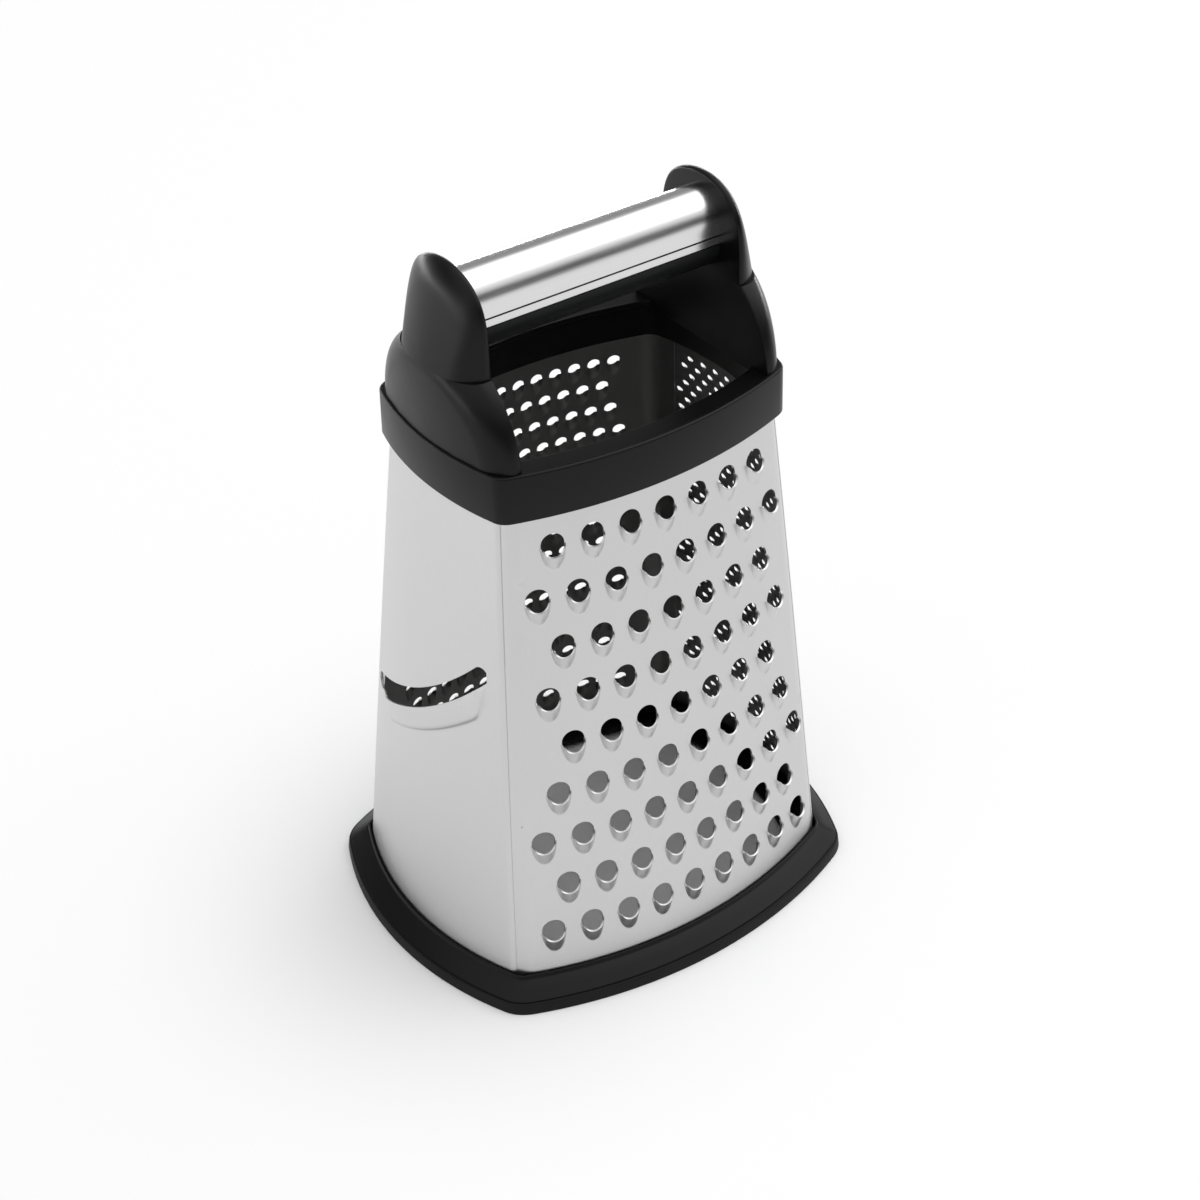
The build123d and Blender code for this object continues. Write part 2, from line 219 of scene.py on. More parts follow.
# Each face's bow radius, how far out it stands at the table, and its lean in degrees.
wide = {"bow": 157.0, "half": 62.8, "lean": 6.5}  # front and back
side = {"bow": 110.0, "half": 76.0, "lean": 5.7}  # left and right


def onFace(face, across, along, lift):  # a place on a bowed, leaning face that looks towards -Y
    tilt = radians(face["lean"])
    swing = np.arcsin(across / face["bow"])
    inward = face["bow"] * (1 - np.cos(swing)) - lift * np.cos(swing)
    return np.stack([across + lift * np.sin(swing),
                     -face["half"] + along * sin(tilt) + inward * cos(tilt),
                     along * cos(tilt) - inward * sin(tilt)], axis=-1)


def reachOf(face, y, z, inset=0.0):  # how far out a face stands at a place across it and a height
    tilt = radians(face["lean"])
    sag = face["bow"] - np.sqrt(face["bow"] ** 2 - y ** 2)
    return face["half"] - (sag + inset + z * sin(tilt)) / cos(tilt)


def edgeOf(face, mate, along, inset=0.0):  # half the breadth of a face, to where it meets its mate
    across = np.full_like(along, 50.0)  # a first guess, which each round brings nearer
    for _ in range(20):
        place = onFace(face, across, along, 0)
        across = reachOf(mate, place[..., 1], place[..., 2], inset)
    return across


def turned(points, degreesRound):
    angle = radians(degreesRound)
    x, y, z = points[..., 0], points[..., 1], points[..., 2]
    return np.stack([x * cos(angle) - y * sin(angle), x * sin(angle) + y * cos(angle), z], axis=-1)


def foldedSheet(flat, face, mate, turn, lap):  # flat blank to bowed face, its edges bent or rolled
    across, along, lift = flat[:, 0], flat[:, 1], flat[:, 2]
    if not lap:
        room = edgeOf(face, mate, along) - body["sideCut"] - np.abs(across)
        lift = lift - body["edgeRoll"] * np.clip(1 - room / body["rollWidth"], 0, 1) ** 2
        return turned(onFace(face, across, along, lift), turn)
    hand = np.sign(across)
    corner = edgeOf(face, mate, along, body["lapInset"])
    start = corner - body["bend"]
    past = np.maximum(np.abs(across) - start, 0)
    on = onFace(face, hand * np.minimum(np.abs(across), start), along, lift)
    sharp = onFace(face, hand * corner, along, 0)
    run = 2 * body["bend"]
    t = np.minimum(past / run, 1)[:, None]
    y = sharp[:, 1] + body["bend"] + np.maximum(past - run, 0)
    lapped = np.stack([hand * reachOf(mate, y, sharp[:, 2], body["lapInset"]), y, sharp[:, 2]],
                      axis=-1)
    bent = on * (1 - t) ** 2 + sharp * 2 * t * (1 - t) + lapped * t ** 2
    return turned(np.where(past[:, None] > 0, bent, on), turn)


def shapeSheet(piece, face, mate, turn, lap):  # fold the flat blank, then give it its thickness
    mesh = piece.data
    flat = np.zeros(len(mesh.vertices) * 3)
    mesh.vertices.foreach_get("co", flat)
    folded = foldedSheet(flat.reshape(-1, 3) / mm, face, mate, turn, lap)
    mesh.vertices.foreach_set("co", (folded * mm).ravel())
    mesh.update()
    bm = bmesh.new()
    bm.from_mesh(mesh)
    bmesh.ops.delete(bm, geom=[v for v in bm.verts if not v.link_faces], context="VERTS")
    bm.to_mesh(mesh)
    bm.free()
    mesh.materials.clear()
    mesh.materials.append(sheetSteel)
    # The second material, for the sheet's inside, is painted shade: a steel far darker than the
    # outside.
    mesh.materials.append(shadedInnerSteel)
    wall = piece.modifiers.new("Thickness", "SOLIDIFY")
    wall.thickness = body["sheet"] * mm
    wall.offset = -1  # inwards, so the outer face stays where it is
    wall.material_offset = 1  # the inner face takes the second material
    bake(piece)
    return smooth(piece, body["sharpAngle"])


# Each pattern: its rows, then one tooth, then the steps of its tile. A tile holds one tooth, from
# "below" its centre up to the next row. The shares place the rings between the hole and the flat.
coarse = {
    "pitch": 13.0, "rowPitch": 18.0, "firstRow": 27.7, "rows": 9, "staggerFirst": 0, "margin": 7.5,
    "hole": 7.5, "lift": 2.3, "ramp": 5.6, "notch": -0.5, "notchRun": 0.6, "roll": 0.45,
    "shares": (0, 0.3, 0.6, 0.85, 1), "below": 11.0, "acrossSteps": 8, "alongSteps": 16,
    "marginSteps": 2,
}
medium = {
    "pitch": 7.15, "rowPitch": 10.0, "firstRow": 22.2, "rows": 16, "staggerFirst": 0,
    "margin": 12.3,
    "hole": 4.8, "lift": 1.5, "ramp": 3.6, "notch": -0.2, "notchRun": 0.5, "roll": 0.3,
    "shares": (0, 0.5, 1), "below": 6.6, "acrossSteps": 6, "alongSteps": 6, "marginSteps": 3,
}
fine = {
    "pitch": 6.0, "rowPitch": 3.6, "firstRow": 17.0, "rows": 45, "staggerFirst": 0, "margin": 10.5,
    "length": 3.3, "width": 1.5, "slant": 20.0, "lift": 0.45, "roll": 0.3,
    "below": 1.8, "acrossSteps": 4, "alongSteps": 2, "marginSteps": 3,
}
noLift = 0.01  # a rise below this is flat sheet
sameLevel = 0.01  # levels nearer than this are one


def pushedTooth(spec, angles):  # rings round a round hole whose lower half is pushed out to a lip
    radius, lift, ramp = spec["hole"] / 2, spec["lift"], spec["ramp"]
    ridge = (radius ** 2 + lift ** 2) / (2 * lift)  # the tongue's radius across

    def height(u, v):
        top = (v + radius + ramp) * lift / ramp
        rise = top - ridge + np.sqrt(np.maximum(ridge ** 2 - u ** 2, 0))
        return np.maximum(rise, 0) * np.clip((spec["notch"] - v) / spec["notchRun"], 0, 1)

    c, s = np.cos(angles), np.sin(angles)
    probe = np.linspace(radius, radius + ramp + 1, 500)
    rise = height(probe[:, None] * c, probe[:, None] * s)
    outline = np.maximum((probe[:, None] * (rise > noLift)).max(axis=0), radius + spec["roll"])
    loops = []
    for share in spec["shares"]:
        r = radius + (outline - radius) * share
        h = height(r * c, r * s) * (1 if share < 1 else 0)
        loops.append(np.column_stack([r * c, r * s, h]))
    r = outline + spec["roll"]
    loops.append(np.column_stack([r * c, r * s, 0 * r]))
    return loops


def raspSlot(spec, angles):  # rings round an oval slot whose upper edge is burst outwards
    local = angles - radians(spec["slant"])
    loops = []
    for grow, lift in ((0, spec["lift"]), (spec["roll"], 0)):
        a, b = spec["length"] / 2 + grow, spec["width"] / 2 + grow
        r = 1 / np.sqrt((np.cos(local) / a) ** 2 + (np.sin(local) / b) ** 2)
        h = lift * (0.5 + 0.5 * np.sin(local))
        loops.append(np.column_stack([r * np.cos(angles), r * np.sin(angles), h]))
    return loops


def makeTile(name, spec, tooth):  # one tooth's rings, and round them the tile's straight border
    wideHalf, low, high = spec["pitch"] / 2, -spec["below"], spec["rowPitch"] - spec["below"]
    m, n = spec["acrossSteps"], spec["alongSteps"]
    border = [(-wideHalf + spec["pitch"] * i / m, low) for i in range(m)]
    border += [(wideHalf, low + (high - low) * i / n) for i in range(n)]
    border += [(wideHalf - spec["pitch"] * i / m, high) for i in range(m)]
    border += [(-wideHalf, high - (high - low) * i / n) for i in range(n)]
    border = np.array(border)
    loops = tooth(spec, np.arctan2(border[:, 1], border[:, 0]))
    loops.append(np.column_stack([border, np.zeros(len(border))]))
    return makeObject(name, np.concatenate(loops),
                      quads(len(loops), len(border), closed=True, flip=True))


punchInputs = {
    "Sheet": "NodeSocketGeometry", "Tile": "NodeSocketObject", "Columns": "NodeSocketInt",
    "Rows": "NodeSocketInt", "Pitch": "NodeSocketFloat", "Row Pitch": "NodeSocketFloat",
    "First Row": "NodeSocketFloat", "Half Breadth": "NodeSocketFloat",
    "Narrowing": "NodeSocketFloat", "Margin": "NodeSocketFloat",
    "Stagger First": "NodeSocketFloat", "Material": "NodeSocketMaterial",
}
punch = {"columns": 61, "merge": 0.02}  # columns to start from, and how near doubles are


# Geometry Nodes: tiles in staggered rows over a flat sheet, as far as its leaning edges allow.
def punchTree():
    tree = bpy.data.node_groups.new("Punched pattern", "GeometryNodeTree")
    for name, kind in punchInputs.items():
        tree.interface.new_socket(name, in_out="INPUT", socket_type=kind)
    tree.interface.new_socket("Geometry", in_out="OUTPUT", socket_type="NodeSocketGeometry")
    given = addNode(tree, "NodeGroupInput").outputs
    mathNode = "ShaderNodeMath"
    plus, minus, times, over = ({"operation": name}
                                for name in ("ADD", "SUBTRACT", "MULTIPLY", "DIVIDE"))
    # A grid of points, one for each place that a tooth could have.
    gapsAcross = addNode(tree, mathNode, minus, i0=given["Columns"], i1=1.0).outputs[0]
    gapsUp = addNode(tree, mathNode, minus, i0=given["Rows"], i1=1.0).outputs[0]
    spanAcross = addNode(tree, mathNode, times, i0=gapsAcross, i1=given["Pitch"]).outputs[0]
    spanUp = addNode(tree, mathNode, times, i0=gapsUp, i1=given["Row Pitch"]).outputs[0]
    grid = addNode(tree, "GeometryNodeMeshGrid", Size_X=spanAcross, Size_Y=spanUp,
                   Vertices_X=given["Columns"], Vertices_Y=given["Rows"]).outputs[0]
    # Every other row moves half a pitch, and the grid's middle goes up to its place.
    where = addNode(tree, "ShaderNodeSeparateXYZ",
                    Vector=addNode(tree, "GeometryNodeInputPosition").outputs[0]).outputs
    halfUp = addNode(tree, mathNode, times, i0=spanUp, i1=0.5).outputs[0]
    height = addNode(tree, mathNode, plus, i0=where[1], i1=halfUp).outputs[0]
    rowShare = addNode(tree, mathNode, over, i0=height, i1=given["Row Pitch"]).outputs[0]
    row = addNode(tree, mathNode, {"operation": "ROUND"}, i0=rowShare).outputs[0]
    counted = addNode(tree, mathNode, plus, i0=row, i1=given["Stagger First"]).outputs[0]
    odd = addNode(tree, mathNode, {"operation": "MODULO"}, i0=counted, i1=2.0).outputs[0]
    halfStep = addNode(tree, mathNode, times, i0=odd, i1=0.5).outputs[0]
    push = addNode(tree, mathNode, times, i0=halfStep, i1=given["Pitch"]).outputs[0]
    rise = addNode(tree, mathNode, plus, i0=halfUp, i1=given["First Row"]).outputs[0]
    move = addNode(tree, "ShaderNodeCombineXYZ", X=push, Y=rise).outputs[0]
    placed = addNode(tree, "GeometryNodeSetPosition", Geometry=grid, Offset=move).outputs[0]
    # Points too near the sheet's leaning edges go.
    now = addNode(tree, "ShaderNodeSeparateXYZ",
                  Vector=addNode(tree, "GeometryNodeInputPosition").outputs[0]).outputs
    narrowed = addNode(tree, mathNode, times, i0=now[1], i1=given["Narrowing"]).outputs[0]
    halfHere = addNode(tree, mathNode, minus, i0=given["Half Breadth"], i1=narrowed).outputs[0]
    room = addNode(tree, mathNode, minus, i0=halfHere, i1=given["Margin"]).outputs[0]
    off = addNode(tree, mathNode, {"operation": "ABSOLUTE"}, i0=now[0]).outputs[0]
    outside = addNode(tree, "FunctionNodeCompare", {"operation": "GREATER_THAN"}, i0=off, i1=room)
    kept = addNode(tree, "GeometryNodeDeleteGeometry", Geometry=placed,
                   Selection=outside.outputs[0]).outputs[0]
    # A tile on each point that is left, joined to the plain part of the sheet.
    tile = addNode(tree, "GeometryNodeObjectInfo", Object=given["Tile"]).outputs["Geometry"]
    tiles = addNode(tree, "GeometryNodeInstanceOnPoints", Points=kept, Instance=tile).outputs[0]
    real = addNode(tree, "GeometryNodeRealizeInstances", Geometry=tiles).outputs[0]
    joined = addNode(tree, "GeometryNodeJoinGeometry", Geometry=real)
    tree.links.new(given["Sheet"], joined.inputs[0])
    welded = addNode(tree, "GeometryNodeMergeByDistance", Geometry=joined.outputs[0],
                     Distance=punch["merge"] * mm).outputs[0]
    coated = addNode(tree, "GeometryNodeSetMaterial", Geometry=welded, Material=given["Material"])
    addNode(tree, "NodeGroupOutput", Geometry=coated.outputs[0])
    return tree


pattern = punchTree()


def leaningEdge(face, mate):  # half a face's breadth at its foot, and how its edge narrows upwards
    low, high = 20.0, 180.0  # the edge is nearly straight, so two places on it do
    ends = edgeOf(face, mate, np.array([low, high]))
    narrowing = (ends[0] - ends[1]) / (high - low)
    return ends[0] + low * narrowing, narrowing


def patternRows(spec, half, narrowing):  # each row's lowest line, and how far out its tiles reach
    rows = []
    for row in range(spec["rows"]):
        along = spec["firstRow"] + row * spec["rowPitch"]
        shift = (row + spec["staggerFirst"]) % 2 / 2
        room = half - narrowing * along - spec["margin"]
        outermost = (np.floor(room / spec["pitch"] + shift) - shift) * spec["pitch"]
        rows.append((along - spec["below"], outermost + spec["pitch"] / 2))
    return rows


def blankLevels(spec, face):  # the blank's rows of points: the tiles' own, and wider ones past them
    slope = cos(radians(face["lean"]))
    foot, head = body["foot"] / slope, body["head"] / slope
    step = spec["rowPitch"] / spec["alongSteps"]
    low = spec["firstRow"] - spec["below"]
    above = low + spec["rowPitch"] * spec["rows"]
    under = np.linspace(foot, low, max(2, int((low - foot) / step / 2) + 2))[:-1]
    inside = [low + step * i for i in range(spec["rows"] * spec["alongSteps"] + 1)]
    over = np.linspace(above, head, max(2, int((head - above) / step / 2) + 2))[1:]
    return np.concatenate([under, inside, over])


# Half the blank's columns: whole steps as far as the tiles reach, then even steps to the edge.
def blankColumns(spec, levels, rows, edge):
    step = spec["pitch"] / spec["acrossSteps"]
    reach = np.zeros(len(levels))
    for low, rowReach in rows:
        inRow = (levels > low - sameLevel) & (levels < low + spec["rowPitch"] + sameLevel)
        reach[inRow] = np.maximum(reach[inRow], rowReach)
    least = int(round(reach[reach > 0].min() / step))
    most = int(round(reach.max() / step)) + spec["marginSteps"]
    columns = np.zeros((len(levels), most + 1))
    for k in range(len(levels)):
        fixed = max(int(round(reach[k] / step)), least)
        columns[k, :fixed + 1] = step * np.arange(fixed + 1)
        columns[k, fixed:] = np.linspace(step * fixed, edge[k], most - fixed + 1)
    return columns


def punchedSheet(name, spec, tooth, face, mate, turn, lap):
    half, narrowing = leaningEdge(face, mate)
    rows = patternRows(spec, half, narrowing)
    levels = blankLevels(spec, face)
    if lap:  # the bend, then the flange
        edge = edgeOf(face, mate, levels, body["lapInset"]) - body["marginCut"]
        past = body["marginCut"] + body["bend"]
        extra = [past * i / body["bendSteps"] for i in range(1, body["bendSteps"] + 1)]
        extra.append(past + body["flange"])
    else:  # the rolled border
        edge = edgeOf(face, mate, levels) - body["sideCut"] - body["rollWidth"]
        rolls = range(1, body["rollSteps"] + 1)
        extra = [body["rollWidth"] * i / body["rollSteps"] for i in rolls]
    columns = blankColumns(spec, levels, rows, edge)
    rightHalf = np.concatenate([columns, edge[:, None] + np.array(extra)[None, :]], axis=1)
    across = np.concatenate([-rightHalf[:, :0:-1], rightHalf], axis=1)
    count = across.shape[1]
    up = np.repeat(levels[:, None], count, 1)
    points = np.stack([across, up, np.zeros_like(across)], axis=-1)
    # The blank is left open where the tiles come.
    middles = (levels[:-1] + levels[1:]) / 2
    covered = np.zeros(len(middles))
    for low, rowReach in rows:
        covered[(middles > low) & (middles < low + spec["rowPitch"])] = rowReach
    centres = np.abs(across[:, :-1] + across[:, 1:]) / 2
    faces = [f for f in quads(len(levels), count)
             if centres[f[0] // count, f[0] % count] > covered[f[0] // count]]
    piece = makeObject(name, points.reshape(-1, 3), faces)
    tile = makeTile(name + "Tile", spec, tooth)
    values = {
        "Tile": tile, "Columns": punch["columns"], "Rows": spec["rows"],
        "Pitch": spec["pitch"] * mm, "Row Pitch": spec["rowPitch"] * mm,
        "First Row": spec["firstRow"] * mm, "Half Breadth": half * mm, "Narrowing": narrowing,
        "Margin": spec["margin"] * mm, "Stagger First": float(spec["staggerFirst"]),
        "Material": sheetSteel,
    }
    holder = piece.modifiers.new("Punch", "NODES")
    holder.node_group = pattern
    for item in pattern.interface.items_tree:
        if item.in_out == "INPUT" and item.name in values:
            holder[item.identifier] = values[item.name]
    bake(piece)
    bpy.data.objects.remove(tile)
    return shapeSheet(piece, face, mate, turn, lap)


coarseSkin = punchedSheet("coarseSkin", coarse, pushedTooth, wide, side, 0, True)
mediumSkin = punchedSheet("mediumSkin", medium, pushedTooth, wide, side, 180, True)
fineSkin = punchedSheet("fineSkin", fine, raspSlot, side, wide, 90, False)
finishPiece(coarseSkin, "coarse_panel")
finishPiece(mediumSkin, "medium_panel")
finishPiece(fineSkin, "fine_panel")
print("punched sheets made")


# The mouth is a bowed slot on a slant. The lip below it rises from the flat. Its profile goes from
# the cutting edge (0) to the crease where it meets the sheet (0.96), with a slight dip past it.
slicer = {
    "height": 99.7, "slant": 32.5, "bow": 130.0, "length": 78.0, "mouth": 6.0,
    "lift": 2.5, "ramp": 9.0, "endReach": 0.8, "fade": 13.0,
    "lip": {0.0: 1.0, 0.1: 0.98, 0.4: 0.88, 0.7: 0.76, 0.83: 0.7, 0.88: 0.52, 0.92: 0.18,
            0.96: 0.0, 1.0: -0.04, 1.12: 0.0},
    "low": 48.0, "high": 152.0, "steps": 56, "endSteps": 16, "stripSteps": 8,
    "outward": (0.15, 0.35, 0.6, 0.8, 1.0), "merge": 0.01,
}


# Points round the mouth, the way out from it at each, and how much of the lip's height each has.
def mouthOutline(centreV):
    tilt = radians(slicer["slant"])
    n, e = slicer["steps"], slicer["endSteps"]
    half = (slicer["length"] - slicer["mouth"]) / 2
    rim = slicer["mouth"] / 2
    place, out, weight = [], [], []

    def arcPoint(s, drop):  # a place s along the mouth's bow and drop below it
        angle = s / slicer["bow"]
        r = slicer["bow"] + drop
        p, q = r * sin(angle), slicer["bow"] - r * cos(angle)
        return np.array([p * cos(tilt) - q * sin(tilt), p * sin(tilt) + q * cos(tilt) + centreV])

    def outward(s, turn):  # the direction away from the mouth, turn 0 straight down
        angle = s / slicer["bow"] + turn + tilt
        return np.array([sin(angle), -cos(angle)])

    def addPoint(point, way, share):
        place.append(point)
        out.append(way)
        weight.append(share)

    for i in range(n):
        s = -half + 2 * half * i / n
        near = min((half - abs(s)) / slicer["fade"], 1)
        addPoint(arcPoint(s, rim), outward(s, 0), near * near * (3 - 2 * near))
    for i in range(e):
        way = outward(half, pi * i / e)
        addPoint(arcPoint(half, 0) + rim * way, way, 0.0)
    for i in range(n):
        s = half - 2 * half * i / n
        addPoint(arcPoint(s, -rim), outward(s, pi), 0.0)
    for i in range(e):
        way = outward(-half, pi + pi * i / e)
        addPoint(arcPoint(-half, 0) + rim * way, way, 0.0)
    return np.array(place), np.array(out), np.array(weight)


def slicingSheet():
    slope = cos(radians(side["lean"]))
    place, out, weight = mouthOutline(slicer["height"] / slope)
    loops = []
    for share, rise in slicer["lip"].items():
        reach = slicer["endReach"] + weight * (slicer["ramp"] - slicer["endReach"])
        flat = place + out * (share * reach)[:, None]
        loops.append(np.column_stack([flat, slicer["lift"] * rise * weight]))
    foot, low, high, head = (v / slope for v in (body["foot"], slicer["low"], slicer["high"],
                                                 body["head"]))

    def edgeAt(v):
        edge = float(edgeOf(side, wide, np.array([v]))[0])
        return edge - body["sideCut"] - body["rollWidth"]

    # The band round the mouth goes out to the sheet's two leaning edges and two level lines.
    m, h = slicer["steps"] + slicer["endSteps"] // 2, slicer["endSteps"] // 2
    lowEdge, highEdge = edgeAt(low), edgeAt(high)
    rightV = [low + (high - low) * i / h for i in range(h)]
    leftV = [high - (high - low) * i / h for i in range(h)]
    border = [(-lowEdge + 2 * lowEdge * i / m, low) for i in range(m)]
    border += [(edgeAt(v), v) for v in rightV]
    border += [(highEdge - 2 * highEdge * i / m, high) for i in range(m)]
    border += [(-edgeAt(v), v) for v in leftV]
    border = np.roll(np.column_stack([np.array(border), np.zeros(len(border))]), -h, axis=0)
    last = loops[-1]
    for share in slicer["outward"]:
        loops.append(last * (1 - share) + border * share)
    points = list(np.concatenate(loops))
    faces = quads(len(loops), len(place), closed=True, flip=True)
    # Plain strips below and above the band.
    steps = slicer["stripSteps"]
    for start, end in ((foot, low), (high, head)):
        faces += quads(steps + 1, m + 1, start=len(points))
        for v in np.linspace(start, end, steps + 1):
            reach = edgeAt(v)
            points += [(-reach + 2 * reach * i / m, v, 0) for i in range(m + 1)]
    # The two upright borders, in narrow columns that roll inwards.
    upright = list(np.linspace(foot, low, steps + 1)[:-1]) + rightV
    upright += list(np.linspace(high, head, steps + 1))
    roll = [body["rollWidth"] * i / body["rollSteps"] for i in range(body["rollSteps"] + 1)]
    for hand in (-1, 1):
        faces += [f[::hand] for f in quads(len(upright), len(roll), start=len(points))]
        for v in upright:
            points += [(hand * (edgeAt(v) + past), v, 0) for past in roll]
    piece = makeObject("slicingSkin", points, faces)
    weld(piece, slicer["merge"], turnOutwards=False)
    return shapeSheet(piece, side, wide, -90, False)


finishPiece(slicingSheet(), "slicing_panel")
print("slicing sheet made")


# How finely the rings are drawn, and how far a corner's rounding goes along the side face.
planSteps = {"wide": 28, "side": 20, "corner": 7, "cornerShare": 0.8, "profileCorner": 5}


# The plan of the body at a height, grown outwards, with its corners rounded.
def planLoop(height, grow, corner):
    depth = wide["half"] - height * tan(radians(wide["lean"])) + grow
    width = side["half"] - height * tan(radians(side["lean"])) + grow
    bowW, bowS = wide["bow"] + grow, side["bow"] + grow
    cx, cy = width, depth
    for _ in range(14):  # the two bows' crossing, nearer each time
        cx = width - bowS + (bowS ** 2 - cy ** 2) ** 0.5
        cy = depth - bowW + (bowW ** 2 - cx ** 2) ** 0.5

    def frontY(x):
        return -depth + bowW - np.sqrt(bowW ** 2 - x ** 2)

    def rightX(y):
        return width - bowS + np.sqrt(bowS ** 2 - y ** 2)

    endX, endY = cx - corner, cy - corner * planSteps["cornerShare"]
    quarter = [(x, frontY(x)) for x in np.linspace(0, endX, planSteps["wide"] // 2 + 1)]
    a, b, c = np.array(quarter[-1]), np.array((cx, -cy)), np.array((rightX(endY), -endY))
    for t in np.linspace(0, 1, planSteps["corner"] + 1)[1:-1]:
        quarter.append(tuple(a * (1 - t) ** 2 + b * 2 * t * (1 - t) + c * t ** 2))
    quarter += [(rightX(y), y) for y in np.linspace(-endY, 0, planSteps["side"] // 2 + 1)]
    quarter = np.array(quarter)
    halfLoop = np.concatenate([quarter, (quarter * (1, -1))[-2::-1]])
    loop = np.concatenate([halfLoop, (halfLoop * (-1, 1))[-2:0:-1]])
    return np.column_stack([loop, np.full(len(loop), height)])


# A closed profile with rounded corners. Each corner is how far out, how high, and its rounding.
def roundedProfile(corners):
    made = []
    count = len(corners)
    for i, (a, b, r) in enumerate(corners):
        here = np.array((a, b))
        if r <= 0:
            made.append(tuple(here))
            continue
        before = np.array(corners[i - 1][:2]) - here
        after = np.array(corners[(i + 1) % count][:2]) - here
        toBefore, toAfter = np.hypot(*before), np.hypot(*after)
        cut = min(r, toBefore * 0.45, toAfter * 0.45)  # never past the middle of a side
        first, last = here + before / toBefore * cut, here + after / toAfter * cut
        for t in np.linspace(0, 1, planSteps["profileCorner"]):
            made.append(tuple(first * (1 - t) ** 2 + here * 2 * t * (1 - t) + last * t ** 2))
    return made


def sweptRing(profile, cornerAt):  # the profile's points carried round the plan
    loops = [planLoop(z, grow, cornerAt(grow)) for grow, z in profile]
    return np.concatenate(loops), quads(len(loops), len(loops[0]), closed=True, ringed=True)


base = {
    # From the lip's top down its bead and the flare, under it and in along the ledge, up the inner
    # wall, and round the channel that takes the sheets.
    "profile": [(1.0, 10.0, 0.35), (1.3, 8.75, 0.1), (1.75, 8.6, 0.2), (3.6, 7.4, 0.8),
                (6.9, 4.9, 0.6), (7.4, 4.5, 0.25), (4.5, 4.5, 0), (4.5, 1.4, 0),
                (-11.0, 1.4, 0.3), (-11.0, 2.9, 0.5), (-3.9, 2.9, 0.6), (-3.9, 8.4, 0.4),
                (-1.7, 8.4, 0.4), (-1.7, 3.0, 0), (0.4, 3.0, 0), (0.4, 10.0, 0.2)],
    "foot": [(8.2, 0.0, 0.4), (8.05, 4.2, 0.5), (4.9, 4.2, 0), (4.9, 1.0, 0), (-3.9, 1.0, 0),
             (-3.9, 0.0, 0)],
    "corner": 2.0, "cornerGrowth": 0.4, "sharpAngle": 32,
}


def baseCorner(grow):  # corners open out with the flare
    return base["corner"] + max(grow, 0) * base["cornerGrowth"]


baseRing = makeObject("baseRing", *sweptRing(roundedProfile(base["profile"]), baseCorner))
footBand = makeObject("footBand", *sweptRing(roundedProfile(base["foot"]), baseCorner))
for piece in (baseRing, footBand):
    weld(piece)
    smooth(piece, base["sharpAngle"])
finishPiece(baseRing, "base_frame", blackAbs)
finishPiece(footBand, "foot_ring", footRubber)
print("base made")


# The rim's profile goes up its outer wall, over its bead, in along its ledge, down its inner wall,
# and round the channel that takes the sheets.
# The shoulders are half discs on it, cut level at the deck and at the waist.
top = {
    "profile": [(2.0, 180.6, 0.5), (3.4, 197.0, 0.8), (1.6, 197.0, 0.5), (1.5, 196.3, 0.3),
                (-5.9, 196.3, 0.5), (-5.9, 194.3, 0.4), (-3.3, 194.3, 0), (-3.3, 180.6, 0.4),
                (-1.7, 180.6, 0), (-1.7, 194.3, 0), (0.4, 194.3, 0), (0.4, 180.6, 0)],
    "corner": 3.5, "grip": 46.4, "reach": 59.0, "radius": 35.2, "centre": 194.0,
    "edge": 9.0, "innerEdge": 0.8, "deck": 194.6, "waist": 222.2, "steps": 56, "sharpAngle": 32,
    "innerRows": (0.0, 0.35, 0.7), "outerRows": (0.45, 0.2, 0.0),
}
quarterTurns = {"innerEdge": np.linspace(0, pi / 2, 5), "edge": np.linspace(0, pi / 2, 12)}


def shoulderShape():  # a line from the axis round both edges, turned half round the centre
    inner, outer, big = top["grip"], top["reach"], top["radius"]
    e = top["innerEdge"]
    line = [(inner, big * share) for share in top["innerRows"]] + [(inner, big - e)]
    for t in quarterTurns["innerEdge"][1:]:
        line.append((inner + e * (1 - cos(t)), big - e * (1 - sin(t))))
    e = top["edge"]
    line += [(outer - e * (1 - sin(t)), big - e * (1 - cos(t))) for t in quarterTurns["edge"]]
    line += [(outer, big * share) for share in top["outerRows"]]
    points = []
    for k in range(top["steps"] + 1):
        phi = pi * k / top["steps"]
        for x, r in line:
            y, z = -r * cos(phi), top["centre"] + r * sin(phi)
            sag = side["bow"] - (side["bow"] ** 2 - y ** 2) ** 0.5  # the outside bows as the side
            x = inner + (x - inner) * (outer - inner - sag) / (outer - inner)
            points.append((x, y, z))
    return np.array(points), quads(top["steps"] + 1, len(line))


def cutLevel(bm, height, way):  # cut off what is above (1) or below (-1) a height, and close it
    geometry = bm.verts[:] + bm.edges[:] + bm.faces[:]
    cut = bmesh.ops.bisect_plane(bm, geom=geometry, dist=1e-7, plane_co=(0, 0, height * mm),
                                 plane_no=(0, 0, way), clear_outer=True)
    edges = [g for g in cut["geom_cut"] if isinstance(g, bmesh.types.BMEdge)]
    bmesh.ops.holes_fill(bm, edges=edges)


